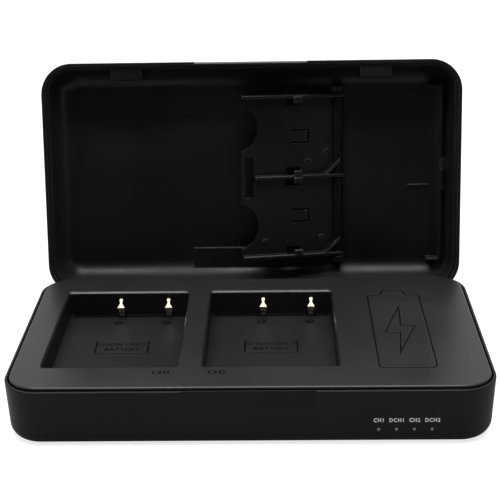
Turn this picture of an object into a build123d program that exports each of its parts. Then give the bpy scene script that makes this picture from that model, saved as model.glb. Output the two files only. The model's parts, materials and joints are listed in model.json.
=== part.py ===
"""Two-bay camera battery charger in a hinged pocket case, with a flip-out card page in its lid.

Millimetres. X runs along the case, Y to its hinge side, Z up, and the origin is the middle of the
underside. The lid and the card page are drawn for the closed case and then swung open.
"""
import os
from math import asin, cos, degrees, radians, sin, tan

from build123d import *

# Battery bays, and the deck round them
bay_width = 37.1
bay_length = 48.8
bay_depth = 7.6
bay_wall = 1.5
bay_corner_radius = 1.0
bay_lead_in = 0.5
bay_divider = 6.8
bay_side_margin = 8.0
bay_front_margin = 11.75
bay_back_margin = 10.85
panel_width = 40.4
label_width = 15.9
label_length = 8.2
label_recess = 0.3
label_to_back = 18.2

# Case
corner_radius = 9.8
draft = 2.2
base_height = 16.8
base_edge_radius = 4.0
shell_wall = 2.0
floor_thickness = 1.8
rim_lip = 0.75
rim_groove = 0.55
rim_edge_radius = 0.35
deck_rise = 0.7
deck_seat_drop = 2.2
deck_thickness = 2.0
deck_skirt = 1.4
deck_edge_radius = 0.5

# Lid
lid_depth = 15.5
lid_wall = 1.9
lid_edge_radius = 8.0
lid_inner_radius = 6.0
lid_rabbet_width = 0.9
lid_rabbet_depth = 1.2
lid_open_angle = 102.3
parting_gap = 0.25
thumb_width = 35.0
thumb_depth = 0.5
thumb_height = 5.0
latch_pad_width = 9.8
latch_pad_reach = 3.7
latch_pad_spacing = 78.2
latch_pad_lead_in = 0.7
latch_pad_clearance = 0.7
window_width = 4.9
window_height = 2.2
window_recess = 0.7
window_to_side = 25.2

# Lid hinge
hinge_drop = 4.4
hinge_inset = 1.5
knuckle_radius = 2.7
hinge_pin_radius = 1.0
hinge_pin_fit = 0.04
lug_width = 40.0
lug_thickness = 2.6
lug_root = 4.0
ear_width = 6.0
hinge_gap = 0.4
hinge_pad_rise = 0.6
hinge_pad_length = 10.5

# Card page
card_slot_width = 24.5
card_rail = 1.3
rail_bevel = 0.3
rail_overrun = 1.2
card_gap = 2.2
clip_thickness = 0.6
clip_rise = 0.4
clip_bevel = 0.3
clip_length = 2.7
clip_reach = 1.5
clip_to_axis = 14.0
clip_window_length = 4.8
clip_window_width = 2.2
page_length = 32.3
page_plate = 1.2
page_barrel_radius = 1.7
page_shift = 0.2
page_axis_height = 3.3
page_swing_clearance = 0.8
page_end_gap = 0.7
page_side_gap = 0.4
page_pin_radius = 1.0
page_pin_fit = 0.05
page_ear_thickness = 1.8
page_ear_reach = 1.9
thumb_notch_radius = 7.5
thumb_notch_depth = 5.7
thumb_notch_shift = 15.8
latch_slot_width = 2.8
latch_slot_length = 13.0
latch_slot_edge = 1.3
tongue_length = 6.0
tongue_width = 4.4
tongue_slit = 0.5
tongue_to_axis = 9.5
tongue_ridge = 0.5
corner_stop_leg = 3.7
prop_to_axis = 9.0
prop_thickness = 1.2
prop_length = 20.0
prop_gap = 0.3

# Bracket that frames the folded page
bracket_inset = 5.3
bracket_thickness = 0.9
bracket_height = 4.5
bracket_leg = 3.8
bracket_gap = 2.4
bracket_catch_width = 5.4
bracket_catch_shift = 0.9
bracket_catch_space = 2.6
catch_nub = 0.3
catch_nub_height = 1.0
rest_rib_length = 6.6
rest_rib_height = 0.5
rest_rib_thickness = 0.6
rest_rib_shift = 4.1
rest_rib_gap = 3.3

# Contact leaves
contact_spacing = 14.7
contact_shift = 4.9
contact_height = 6.0
contact_thickness = 0.4
contact_leg_width = 1.6
contact_knee_width = 2.2
contact_neck_width = 0.65
contact_tip_radius = 0.5
contact_bend_height = 1.0
contact_knee_height = 3.6
contact_neck_height = 4.7
contact_bulge = 1.5
contact_to_wall = 1.2
contact_foot = 2.0
contact_slot_clearance = 0.3
contact_step = 0.25

# Circuit board and its pieces
board_thickness = 1.2
board_standoff = 1.6
board_left_gap = 14.5
board_front_gap = 13.0
board_tongue_width = 20.0
board_edge_gap = 1.5
board_back_gap = 1.0
board_boss_gap = 0.3
post_radius = 2.2
board_screw_radius = 0.9
board_screw_head_radius = 1.8
board_screw_head = 1.2
board_screw_length = 3.6
board_screw_inset = 4.0
board_screw_gap = 0.6
led_size = 1.2
led_height = 0.8
led_pitch = 4.7
led_to_side = 24.75
guide_radius = 0.5
guide_bar = 1.6
guide_gap = 0.15
inductor_size = 10.0
inductor_height = 4.6
inductor_spacing = 13.0
inductor_corner = 2.0
inductor_bevel = 0.575
capacitor_radius = 3.15
capacitor_height = 7.4
capacitor_seat = 0.925
capacitor_spacing = 8.0
chip_width = 5.0
chip_length = 6.2
chip_height = 1.6
part_row_inset = 1.15
part_row_space = 1.85
part_row_gap = 0.6
mount_gap = 0.02

# Sockets in the right-hand wall
output_width = 13.1
output_height = 5.7
output_length = 14.0
output_to_front = 28.5
output_tongue = 1.9
output_core = 3.5
input_width = 7.8
input_height = 2.7
input_length = 6.0
input_to_front = 47.0
input_tongue = 0.7
input_core = 1.5
socket_wall = 0.4
socket_recess = 0.4
socket_clearance = 0.3

# Case screws
screw_radius = 1.2
screw_length = 9.0
screw_head_radius = 2.1
screw_head = 1.5
screw_recess = 2.2
screw_fit = 0.03
screw_clearance = 0.3
screw_cross_width = 0.6
screw_cross_depth = 0.7
boss_wall = 1.1
boss_seat = 0.9
boss_split = 7.0
screw_side_inset = 10.0
screw_front_inset = 7.4
screw_back_inset = 6.0

# Places that follow from those sizes
deck_inset = rim_lip + rim_groove
case_width = 2 * deck_inset + bay_side_margin + 2 * bay_width + bay_divider + panel_width
case_depth = 2 * deck_inset + bay_front_margin + bay_length + bay_back_margin
side_x = case_width / 2
front_y = -case_depth / 2
back_y = case_depth / 2
deck_top = base_height + deck_rise
deck_seat = base_height - deck_seat_drop
deck_under = deck_top - deck_thickness
bay_floor = deck_top - bay_depth
bay_front = front_y + deck_inset + bay_front_margin
bay_back = bay_front + bay_length
bay_middle = bay_front + bay_length / 2
first_bay = -side_x + deck_inset + bay_side_margin + bay_width / 2
bay_centres = [first_bay, first_bay + bay_width + bay_divider]
bays_right = bay_centres[1] + bay_width / 2 + bay_wall
board_under = floor_thickness + board_standoff
board_top = board_under + board_thickness
board_left = -side_x + shell_wall + board_left_gap
board_right = side_x - shell_wall - board_edge_gap
board_front = front_y + shell_wall + board_front_gap
board_back = bay_back + board_back_gap
part_row_start = board_back - board_screw_inset - board_screw_head_radius - part_row_gap
capacitor_x = bays_right + part_row_inset + capacitor_radius
inductor_x = capacitor_x + capacitor_radius + part_row_space + inductor_size / 2
contact_y = bay_back - contact_to_wall
indicator_z = board_top + led_height / 2
hinge_z = base_height - hinge_drop
hinge_y = back_y - hinge_inset
recess_y = hinge_y - knuckle_radius - hinge_gap
lug_notch_y = back_y - lug_thickness - hinge_gap
recess_floor = hinge_z - knuckle_radius - hinge_gap
lid_rim = base_height + parting_gap
lid_ceiling = lid_rim + lid_depth
page_front = page_plate - page_barrel_radius + card_gap + clip_thickness
page_height = 2 * card_slot_width + 3 * card_rail
page_axis_x = side_x - bracket_inset - page_end_gap - page_length
page_axis_z = lid_ceiling - page_axis_height
page_room = page_axis_z - deck_top - page_swing_clearance - page_front
page_rest_angle = degrees(asin(page_room / page_length))
hinge_axis = Axis((0, hinge_y, hinge_z), (1, 0, 0))
page_axis = Axis((page_axis_x, page_shift, page_axis_z), (0, 1, 0))


def box_between(x, y, z):
    """Block between two limits on each axis."""
    size = (abs(x[1] - x[0]), abs(y[1] - y[0]), abs(z[1] - z[0]))
    return Pos(sum(x) / 2, sum(y) / 2, sum(z) / 2) * Box(*size)


def rod(radius, length, middle, along):
    """Round bar about a middle point, along the X, Y or Z axis."""
    turn = {"X": Rot(0, 90, 0), "Y": Rot(90, 0, 0), "Z": Rot(0, 0, 0)}[along]
    return Pos(*middle) * turn * Cylinder(radius, length)


def case_half(inset, rim_z, height, edge_radius):
    """Drafted half-case outline, widest at its rim, with its closed edge rounded.

    A positive height rises from the rim as the lid does, a negative one goes down as the base does.
    """
    outline = RectangleRounded(case_width - 2 * inset, case_depth - 2 * inset, corner_radius - inset)
    body = extrude(Plane.XY.offset(rim_z) * outline, height, taper=draft)
    closed_end = body.faces().sort_by(Axis.Z)[-1 if height > 0 else 0]
    return fillet(closed_end.edges(), edge_radius)


def rounded_prism(inset, bottom, top):
    """Straight prism on the case outline, set in all round."""
    outline = RectangleRounded(case_width - 2 * inset, case_depth - 2 * inset, corner_radius - inset)
    return extrude(Plane.XY.offset(bottom) * outline, top - bottom)


def wall_inset(z):
    """How far the draft brings the base's outer wall in at a height."""
    return tan(radians(draft)) * (base_height - z)


def thumb_recess(rim_z, height):
    """Tapered cut at the middle of the front rim, deepest at the rim, running out on the drafted wall."""
    sections = []
    for z, depth in ((rim_z, thumb_depth), (rim_z + height, tan(radians(draft)) * abs(height))):
        outer = thumb_width / 2 + 2 * thumb_depth
        inner = thumb_width / 2
        outline = Polygon((-outer, front_y - thumb_depth), (outer, front_y - thumb_depth),
                          (inner, front_y + depth), (-inner, front_y + depth), align=None)
        sections.append(Plane.XY.offset(z) * outline)
    return loft(sections)


def screw_places():
    """Centres of the case screws, as x and y."""
    xs = (-side_x + screw_side_inset, side_x - screw_side_inset)
    ys = (front_y + screw_front_inset, back_y - screw_back_inset)
    return [(x, y) for x in xs for y in ys]


def socket_mouth(height):
    """X of a socket's mouth, just inside the drafted wall."""
    return side_x - wall_inset(board_top + height) - socket_recess


def board_screw_places():
    """Centres of the board screws: at the board's left end, and just behind the sockets at its right."""
    behind_sockets = socket_mouth(output_height) - output_length - board_screw_gap - board_screw_head_radius
    xs = (board_left + board_screw_inset, behind_sockets)
    ys = (board_front + board_screw_inset, board_back - board_screw_inset)
    return [(x, y) for x in xs for y in ys]


def led_places():
    """X of each indicator."""
    last = side_x - led_to_side + 1.5 * led_pitch
    return [last - led_pitch * step for step in (3, 2, 1, 0)]


def contact_places():
    """X of each contact leaf, two to a bay."""
    offsets = (contact_shift - contact_spacing / 2, contact_shift + contact_spacing / 2)
    return [centre + offset for centre in bay_centres for offset in offsets]


def hinge_housing():
    """Solid block behind the rear wall, with an ear on each side for the pin."""
    half = lug_width / 2 + hinge_gap + ear_width
    bottom = recess_floor - shell_wall
    block = box_between((-half, half), (recess_y - shell_wall, back_y), (bottom, deck_seat))
    block = block & case_half(0, base_height, -base_height, base_edge_radius)
    ears = rod(knuckle_radius, 2 * half, (0, hinge_y, hinge_z), "X")
    ears = ears & box_between((-half, half), (recess_y, hinge_y + knuckle_radius), (recess_floor, deck_seat))
    gusset_y = hinge_y + knuckle_radius * cos(radians(45))
    gusset_z = hinge_z - knuckle_radius * sin(radians(45))
    profile = Polygon((back_y - shell_wall, hinge_z), (gusset_y, gusset_z),
                      (back_y - shell_wall, gusset_z - (gusset_y - back_y) - shell_wall), align=None)
    gusset = extrude(Plane.YZ * profile, half, both=True)
    return block + ears + gusset


def base_shell():
    """Lower housing: a drafted tub with a thin rim lip, bosses, board posts and cut-outs."""
    outside = case_half(0, base_height, -base_height, base_edge_radius)
    shell = fillet(outside.faces().sort_by(Axis.Z)[-1].edges(), rim_edge_radius)
    inner_radius = max(base_edge_radius - shell_wall, rim_edge_radius)
    shell -= case_half(shell_wall, base_height, floor_thickness - base_height, inner_radius)
    shell -= rounded_prism(rim_lip, deck_seat, base_height)
    shell -= thumb_recess(base_height, -thumb_height)
    shell += hinge_housing()
    recess_half = lug_width / 2 + hinge_gap
    rear_limit = back_y + 2 * knuckle_radius
    shell -= box_between((-recess_half, recess_half), (recess_y, rear_limit), (recess_floor, deck_top))
    pin_room = 2 * (recess_half + ear_width)
    shell -= rod(hinge_pin_radius + hinge_pin_fit, pin_room, (0, hinge_y, hinge_z), "X")
    for x, y in screw_places():
        cup = screw_recess + boss_seat
        boss = rod(screw_radius + boss_wall, boss_split, (x, y, boss_split / 2), "Z")
        boss += rod(screw_head_radius + screw_clearance + boss_wall, cup, (x, y, cup / 2), "Z")
        shell += boss & outside
        shell -= rod(screw_radius + screw_clearance, 2 * boss_split, (x, y, boss_split), "Z")
        shell -= rod(screw_head_radius + screw_clearance, screw_recess, (x, y, screw_recess / 2), "Z")
    for x, y in board_screw_places():
        shell += rod(post_radius, board_under, (x, y, board_under / 2), "Z")
        pilot = board_screw_length - board_thickness + screw_clearance
        shell -= rod(board_screw_radius + screw_fit, pilot, (x, y, board_under - pilot / 2), "Z")
    for x in led_places():
        hole = rod(guide_radius + guide_gap, 2 * shell_wall + deck_inset, (x, front_y, indicator_z), "Y")
        shell -= hole
    sockets = ((output_to_front, output_width, output_height), (input_to_front, input_width, input_height))
    for to_front, width, height in sockets:
        y = front_y + to_front
        mouth = box_between((side_x - 2 * shell_wall, side_x + shell_wall),
                            (y - width / 2 - socket_clearance, y + width / 2 + socket_clearance),
                            (board_top + mount_gap - socket_clearance, board_top + height + socket_clearance))
        shell -= mouth
    return shell


def top_deck():
    """Upper moulding: the deck with two battery bays let into it, on a skirt that sits in the rim."""
    deck = rounded_prism(deck_inset, deck_seat, deck_top)
    deck = fillet(deck.faces().sort_by(Axis.Z)[-1].edges(), deck_edge_radius)
    deck -= rounded_prism(deck_inset + deck_skirt, deck_seat, deck_under)
    well_under = bay_floor - bay_wall
    for centre in bay_centres:
        place = Pos(centre, bay_middle)
        well = RectangleRounded(bay_width + 2 * bay_wall, bay_length + 2 * bay_wall,
                                bay_corner_radius + bay_wall)
        deck += extrude(Plane.XY.offset(well_under) * (place * well), deck_top - bay_wall - well_under)
    for x, y in screw_places():
        boss_middle = (x, y, (deck_under + boss_split) / 2)
        deck += rod(screw_radius + boss_wall, deck_under - boss_split, boss_middle, "Z")
        pilot = screw_length + screw_recess - screw_head - boss_split + screw_clearance
        deck -= rod(screw_radius + screw_fit, pilot, (x, y, boss_split + pilot / 2), "Z")
    for centre in bay_centres:
        place = Pos(centre, bay_middle)
        mouth = RectangleRounded(bay_width, bay_length, bay_corner_radius)
        bay = extrude(Plane.XY.offset(bay_floor) * (place * mouth), bay_depth)
        lip = RectangleRounded(bay_width + 2 * bay_lead_in, bay_length + 2 * bay_lead_in,
                               bay_corner_radius + bay_lead_in)
        lead_in = loft([Plane.XY.offset(deck_top - bay_lead_in) * (place * mouth),
                        Plane.XY.offset(deck_top) * (place * lip)])
        label = Pos(centre, bay_back - label_to_back - label_length / 2)
        panel = extrude(Plane.XY.offset(bay_floor - label_recess)
                        * (label * RectangleRounded(label_width, label_length, bay_corner_radius)),
                        label_recess)
        deck -= bay + lead_in + panel
    slot_half = contact_knee_width / 2 + contact_slot_clearance
    slot_y = (contact_y - contact_thickness - contact_slot_clearance, bay_back)
    for x in contact_places():
        deck -= box_between((x - slot_half, x + slot_half), slot_y, (well_under, bay_floor))
    step_half = bay_width / 2 - bay_corner_radius
    for centre in bay_centres:
        deck -= box_between((centre - step_half, centre + step_half), slot_y,
                            (bay_floor - contact_step, bay_floor))
    notch_half = lug_width / 2 + hinge_gap
    deck -= box_between((-notch_half, notch_half), (lug_notch_y, back_y), (deck_seat, deck_top))
    return deck


def contact_leaf(x):
    """Stamped leaf spring: a foot on the board, a leg through the bay floor, a knee and a round tip."""
    half = contact_thickness / 2
    knee = (contact_y - contact_bulge, bay_floor + contact_knee_height)
    path = Polyline((contact_y + contact_foot, board_top + half + mount_gap),
                    (contact_y, board_top + half + mount_gap),
                    (contact_y, bay_floor + contact_bend_height),
                    knee,
                    (contact_y + half, bay_floor + contact_height - contact_tip_radius / 2))
    bent = extrude(Plane.YZ * trace(path, contact_thickness), contact_knee_width / 2, both=True)
    tip_z = bay_floor + contact_height - contact_tip_radius
    right_side = [(contact_leg_width / 2, board_top),
                  (contact_leg_width / 2, bay_floor + contact_bend_height),
                  (contact_knee_width / 2, knee[1]),
                  (contact_neck_width / 2, bay_floor + contact_neck_height),
                  (contact_neck_width / 2, tip_z)]
    left_side = [(-across, up) for across, up in reversed(right_side)]
    blank = Polygon(*right_side, *left_side, align=None) + Pos(0, tip_z) * Circle(contact_tip_radius)
    stamped = extrude(Plane.XZ.offset(-contact_y) * blank, contact_bulge + contact_foot + contact_thickness,
                      both=True)
    return Pos(x, 0, 0) * (bent & stamped)


def main_board():
    """Circuit board under the bays, with a tongue that carries the indicators to the front wall."""
    board = box_between((board_left, board_right), (board_front, board_back), (board_under, board_top))
    tongue_middle = sum(led_places()) / 4
    tongue_x = (tongue_middle - board_tongue_width / 2, tongue_middle + board_tongue_width / 2)
    board += box_between(tongue_x, (guide_back() + guide_gap, board_front), (board_under, board_top))
    for x, y in board_screw_places():
        board -= rod(board_screw_radius + screw_clearance, 2 * board_thickness, (x, y, board_top), "Z")
    for x, y in screw_places():
        board -= rod(screw_radius + boss_wall + board_boss_gap, 2 * board_thickness, (x, y, board_top), "Z")
    return board


def guide_back():
    """Y of the light guide's rear face."""
    return front_y + wall_inset(indicator_z) + shell_wall + guide_gap + guide_bar


def light_guide():
    """Clear bar behind the front wall with one prong for each indicator hole."""
    places = led_places()
    back = guide_back()
    bar = box_between((places[0] - led_size, places[-1] + led_size), (back - guide_bar, back),
                      (indicator_z - guide_bar / 2, indicator_z + guide_bar / 2))
    tip = front_y + wall_inset(indicator_z) + guide_gap / 2
    for x in places:
        bar += rod(guide_radius, back - tip, (x, (back + tip) / 2, indicator_z), "Y")
    return bar


def indicator(x):
    """Side-looking light on the board's tongue, just behind the guide."""
    rear = guide_back() + guide_gap
    body = box_between((x - led_size / 2, x + led_size / 2), (rear, rear + led_size),
                       (board_top + mount_gap, board_top + led_height))
    lens = rod(led_height / 2 - guide_gap, guide_gap, (x, rear - guide_gap / 2, indicator_z), "Y")
    return body + lens


def socket_shell(to_front, width, height, length, corner):
    """Folded metal shell of a socket, open towards the right-hand wall and at its back."""
    y = front_y + to_front
    mouth_x = socket_mouth(height)
    outer = Plane.YZ.offset(mouth_x) * Pos(y, board_top + mount_gap + height / 2)
    inner_size = (width - 2 * socket_wall, height - 2 * socket_wall)
    tube = extrude(outer * RectangleRounded(width, height, corner + socket_wall), -length)
    return tube - extrude(outer * RectangleRounded(*inner_size, corner), -length)


def socket_insulator(to_front, width, height, length, corner, core_length, tongue):
    """Moulded core of a socket: a block that fills the back of the shell, and the contact tongue."""
    y = front_y + to_front
    mouth_x = socket_mouth(height)
    middle_z = board_top + mount_gap + height / 2
    rear = Plane.YZ.offset(mouth_x - length) * Pos(y, middle_z)
    gap = socket_wall + mount_gap
    core = extrude(rear * RectangleRounded(width - 2 * gap, height - 2 * gap, corner), core_length)
    reach = length - 2 * socket_recess
    tongue_half = width / 2 - 2 * gap - tongue / 2
    blade = box_between((mouth_x - length, mouth_x - length + reach), (y - tongue_half, y + tongue_half),
                        (middle_z - tongue / 2, middle_z + tongue / 2))
    return core + blade


def inductor(index):
    """Shielded power choke: a square ferrite body with its corners cut."""
    y = part_row_start - inductor_size / 2 - index * inductor_spacing
    foot = Plane.XY.offset(board_top + mount_gap) * Pos(inductor_x, y)
    body = extrude(foot * RectangleRounded(inductor_size, inductor_size, inductor_corner), inductor_height)
    cap = body.faces().sort_by(Axis.Z)[-1]
    return chamfer(cap.edges(), inductor_bevel)


def capacitor(index):
    """Can capacitor standing on its square seat."""
    x = capacitor_x
    y = part_row_start - capacitor_radius - index * capacitor_spacing
    foot = board_top + mount_gap
    seat = box_between((x - capacitor_radius, x + capacitor_radius),
                       (y - capacitor_radius, y + capacitor_radius), (foot, foot + capacitor_seat))
    can_middle = (x, y, foot + capacitor_height / 2)
    can = rod(capacitor_radius * cos(radians(draft)), capacitor_height, can_middle, "Z")
    top = can.edges().filter_by(GeomType.CIRCLE).sort_by(Axis.Z)[-1]
    return seat + fillet(top, capacitor_seat / 2)


def control_chip(index):
    """Small moulded chip, one for each bay."""
    x = inductor_x
    y = part_row_start - 2 * inductor_spacing - chip_width / 2 - index * inductor_spacing / 2
    return box_between((x - chip_length / 2, x + chip_length / 2), (y - chip_width / 2, y + chip_width / 2),
                       (board_top + mount_gap, board_top + mount_gap + chip_height))


def case_screw(x, y):
    """Screw from below, with a cross recess in its pan head."""
    head = rod(screw_head_radius, screw_head, (x, y, screw_recess - screw_head / 2), "Z")
    shank = rod(screw_radius, screw_length, (x, y, screw_recess - screw_head + screw_length / 2), "Z")
    seat = screw_recess - screw_head
    cross = Pos(x, y, seat + screw_cross_depth / 2)
    bar = Box(2 * screw_head_radius * cos(radians(45)), screw_cross_width, screw_cross_depth)
    return head + shank - cross * (bar + Rot(0, 0, 90) * bar)


def board_screw(x, y):
    """Short screw through the board into its post."""
    head_z = board_top + mount_gap + board_screw_head / 2
    head = rod(board_screw_head_radius, board_screw_head, (x, y, head_z), "Z")
    shank_top = board_top + board_screw_head / 2
    shank_bottom = board_top - board_screw_length
    shank = rod(board_screw_radius, shank_top - shank_bottom, (x, y, (shank_top + shank_bottom) / 2), "Z")
    return head + shank


def hinge_pin():
    """Steel pin through both ears and the lid's lug."""
    length = lug_width + 2 * hinge_gap + 2 * ear_width
    return rod(hinge_pin_radius, length, (0, hinge_y, hinge_z), "X")


def lid_lug():
    """Hinge lug that hangs from the lid's rear wall, before its bore is cut."""
    half = lug_width / 2
    knuckle = rod(knuckle_radius, lug_width, (0, hinge_y, hinge_z), "X")
    leaf = box_between((-half, half), (back_y - lug_thickness, back_y), (hinge_z, lid_rim + lug_root))
    return knuckle + leaf


def page_bracket():
    """Low frame on the lid's floor round the folded page: two angle ribs and a sprung catch between."""
    rib_x = (side_x - bracket_inset, side_x - bracket_inset + bracket_thickness)
    rib_z = (lid_ceiling - bracket_height, lid_ceiling)
    far = page_height / 2 + bracket_gap
    near = bracket_catch_width / 2 + bracket_catch_space
    catch = bracket_catch_width / 2
    nub_z = lid_ceiling - page_axis_height - page_barrel_radius - catch_nub
    nub_x = rib_x[0] - page_end_gap + catch_nub
    nub = Polygon((rib_x[0], nub_z), (nub_x, nub_z), (rib_x[0], nub_z - catch_nub_height), align=None)
    spring = box_between(rib_x, (-catch, catch), (nub_z - catch_nub_height, lid_ceiling))
    parts = Pos(0, bracket_catch_shift, 0) * (spring + extrude(Plane.XZ * nub, catch, both=True))
    rest_x = rib_x[0] - rest_rib_gap
    parts += box_between((rest_x - rest_rib_length, rest_x),
                         (rest_rib_shift - rest_rib_thickness / 2, rest_rib_shift + rest_rib_thickness / 2),
                         (lid_ceiling - rest_rib_height, lid_ceiling))
    for side in (-1, 1):
        parts += box_between(rib_x, (side * near, side * far), rib_z)
        parts += box_between((rib_x[0] - bracket_leg, rib_x[1]),
                             (side * (far - bracket_thickness), side * far), rib_z)
    return parts


def page_supports():
    """Two pivot ears and the prop that the open page leans on, standing on the lid's floor."""
    near = page_height / 2 + page_side_gap
    middle = near + page_ear_thickness / 2
    parts = None
    for side in (-1, 1):
        ear = rod(page_ear_reach, page_ear_thickness, (page_axis_x, side * middle, page_axis_z), "Y")
        ear += box_between((page_axis_x - page_ear_reach, page_axis_x + page_ear_reach),
                           (side * near, side * (near + page_ear_thickness)), (page_axis_z, lid_ceiling))
        parts = ear if parts is None else parts + ear
    lean = radians(page_rest_angle)
    prop_height = page_axis_height + prop_to_axis * tan(lean) - page_barrel_radius / cos(lean) - prop_gap
    prop_x = page_axis_x - prop_to_axis
    parts += box_between((prop_x - prop_thickness, prop_x), (-prop_length / 2, prop_length / 2),
                         (lid_ceiling - prop_height, lid_ceiling))
    return parts


def latch_pads():
    """Two closing pads on the lid's front wall, bevelled along their lower edge."""
    root = front_y + lid_wall / 2
    face = front_y + lid_wall + latch_pad_reach
    low = lid_rim + deck_rise - parting_gap + latch_pad_clearance
    profile = Polygon((root, low), (face - latch_pad_lead_in, low), (face, low + latch_pad_lead_in),
                      (face, lid_ceiling), (root, lid_ceiling), align=None)
    pad = extrude(Plane.YZ * profile, latch_pad_width / 2, both=True)
    return Pos(-latch_pad_spacing / 2, 0, 0) * pad + Pos(latch_pad_spacing / 2, 0, 0) * pad


def lid_shell():
    """Lid moulding, drawn closed: a deep drafted tray with everything that stands on its inside."""
    outer = case_half(0, lid_rim, lid_depth + lid_wall, lid_edge_radius)
    lid = outer - case_half(lid_wall, lid_rim, lid_depth, lid_inner_radius)
    lid -= rounded_prism(lid_wall - lid_rabbet_width, lid_rim, lid_rim + lid_rabbet_depth)
    lid -= thumb_recess(lid_rim, thumb_height)
    half = lug_width / 2
    pad = box_between((-half, half), (back_y - lid_wall - hinge_pad_length, back_y - lid_wall / 2),
                      (lid_ceiling - hinge_pad_rise, lid_ceiling + lid_wall / 2))
    fittings = Pos(0, page_shift, 0) * (page_bracket() + page_supports())
    inside = latch_pads() + fittings + pad
    lid += inside & outer
    lid += lid_lug()
    lid -= rod(hinge_pin_radius + hinge_pin_fit, 2 * lug_width, (0, hinge_y, hinge_z), "X")
    pivot_bore = page_height + 2 * page_side_gap + 2 * page_ear_thickness
    lid -= rod(page_pin_radius + page_pin_fit, pivot_bore, (page_axis_x, page_shift, page_axis_z), "Y")
    window_x = side_x - window_to_side
    window_z = lid_ceiling - lid_inner_radius + window_height
    lid -= box_between((window_x - window_width / 2, window_x + window_width / 2),
                       (back_y - lid_wall - window_recess, back_y - lid_wall + window_recess),
                       (window_z - window_height, window_z))
    return lid


def page_rail(length):
    """Rail with a bevelled crest, along the page from its hinge end."""
    half = card_rail / 2
    foot = page_plate - page_barrel_radius
    profile = Polygon((-half, foot), (half, foot), (half, page_front - rail_bevel),
                      (half - rail_bevel, page_front), (rail_bevel - half, page_front),
                      (-half, page_front - rail_bevel), align=None)
    return extrude(Plane.YZ * profile, length)


def card_slot(middle):
    """What one card slot adds to the page and cuts from it, about the slot's middle line."""
    half = card_slot_width / 2
    plate_front = page_plate - page_barrel_radius
    leg = corner_stop_leg
    stop = Polygon((0, middle + half - leg), (0, middle + half - leg - card_rail),
                   (leg + card_rail, middle + half), (leg, middle + half), align=None)
    adds = extrude(Plane.XY.offset(plate_front) * stop, card_gap + clip_thickness)
    ridge_u = tongue_to_axis + tongue_slit + tongue_ridge
    adds += rod(tongue_ridge, tongue_width - 2 * tongue_slit, (ridge_u, middle, plate_front), "Y")
    through = (-page_barrel_radius, plate_front)
    cuts = box_between((tongue_to_axis, tongue_to_axis + tongue_slit),
                       (middle - tongue_width / 2, middle + tongue_width / 2), through)
    for side in (-1, 1):
        edge = middle + side * tongue_width / 2
        slit = (edge - side * tongue_slit, edge)
        cuts += box_between((tongue_to_axis, tongue_to_axis + tongue_length), slit, through)
        wall = middle + side * half
        clip_u = (clip_to_axis - clip_length / 2, clip_to_axis + clip_length / 2)
        clip_v = (wall - side * clip_reach, wall + side * card_rail / 2)
        clip = box_between(clip_u, clip_v, (plate_front + card_gap, page_front + clip_rise))
        crest = clip.faces().sort_by(Axis.Z)[-1]
        adds += chamfer(crest.edges(), clip_bevel)
        window_v = (wall - side * clip_window_width, wall)
        cuts += box_between((clip_u[0], clip_u[0] + clip_window_length), window_v, through)
    notch_u = page_length - thumb_notch_depth + thumb_notch_radius
    notch_v = thumb_notch_shift if middle > 0 else -thumb_notch_shift
    cuts += rod(thumb_notch_radius, 2 * page_barrel_radius, (notch_u, notch_v, -page_barrel_radius), "Z")
    return adds, cuts


def card_page():
    """Swing-out page for two memory cards, drawn flat: u from its axis, v along it, w to the viewer."""
    half = page_height / 2
    plate_front = page_plate - page_barrel_radius
    page = box_between((0, page_length), (-half, half), (-page_barrel_radius, plate_front))
    page += rod(page_barrel_radius, page_height, (0, 0, 0), "Y")
    latch_bar = page_length - latch_slot_edge - latch_slot_width
    outer_rail = half - card_rail / 2
    for middle, end in ((-outer_rail, page_length), (0, latch_bar), (outer_rail, page_length)):
        page += Pos(-rail_overrun, middle, 0) * page_rail(end + rail_overrun)
    slot_middle = (card_slot_width + card_rail) / 2
    for middle in (-slot_middle, slot_middle):
        adds, cuts = card_slot(middle)
        page = page + adds - cuts
    page -= box_between((latch_bar, latch_bar + latch_slot_width),
                        (-latch_slot_length / 2, latch_slot_length / 2), (-page_barrel_radius, plate_front))
    pin_length = page_height + 2 * page_side_gap + 2 * page_ear_thickness
    page += rod(page_pin_radius, pin_length, (0, 0, 0), "Y")
    seat = Plane((page_axis_x, page_shift, page_axis_z), x_dir=(-1, 0, 0), z_dir=(0, 0, -1))
    return (seat * page).rotate(page_axis, -page_rest_angle)


def opened(shape):
    """Swing a piece of the lid from closed to open."""
    return shape.rotate(hinge_axis, -lid_open_angle)


os.makedirs("parts", exist_ok=True)
pieces = {
    "base_shell": base_shell(),
    "top_deck": top_deck(),
    "main_board": main_board(),
    "light_guide": light_guide(),
    "output_socket_shell": socket_shell(output_to_front, output_width, output_height, output_length,
                                        socket_wall),
    "output_socket_core": socket_insulator(output_to_front, output_width, output_height, output_length,
                                           socket_wall, output_core, output_tongue),
    "input_socket_shell": socket_shell(input_to_front, input_width, input_height, input_length,
                                       2 * socket_wall),
    "input_socket_core": socket_insulator(input_to_front, input_width, input_height, input_length,
                                          2 * socket_wall, input_core, input_tongue),
    "case_screws": Compound(children=[case_screw(x, y) for x, y in screw_places()]),
    "board_screws": Compound(children=[board_screw(x, y) for x, y in board_screw_places()]),
    "hinge_pin": hinge_pin(),
    "lid_shell": opened(lid_shell()),
    "card_page": opened(card_page()),
}
contact_names = ("contact_bay1_left", "contact_bay1_right", "contact_bay2_left", "contact_bay2_right")
for name, x in zip(contact_names, contact_places()):
    pieces[name] = contact_leaf(x)
for number, x in enumerate(led_places(), 1):
    pieces[f"indicator_{number}"] = indicator(x)
for number in (1, 2):
    pieces[f"power_inductor_{number}"] = inductor(number - 1)
    pieces[f"control_chip_{number}"] = control_chip(number - 1)
for number in (1, 2, 3):
    pieces[f"filter_capacitor_{number}"] = capacitor(number - 1)

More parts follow.
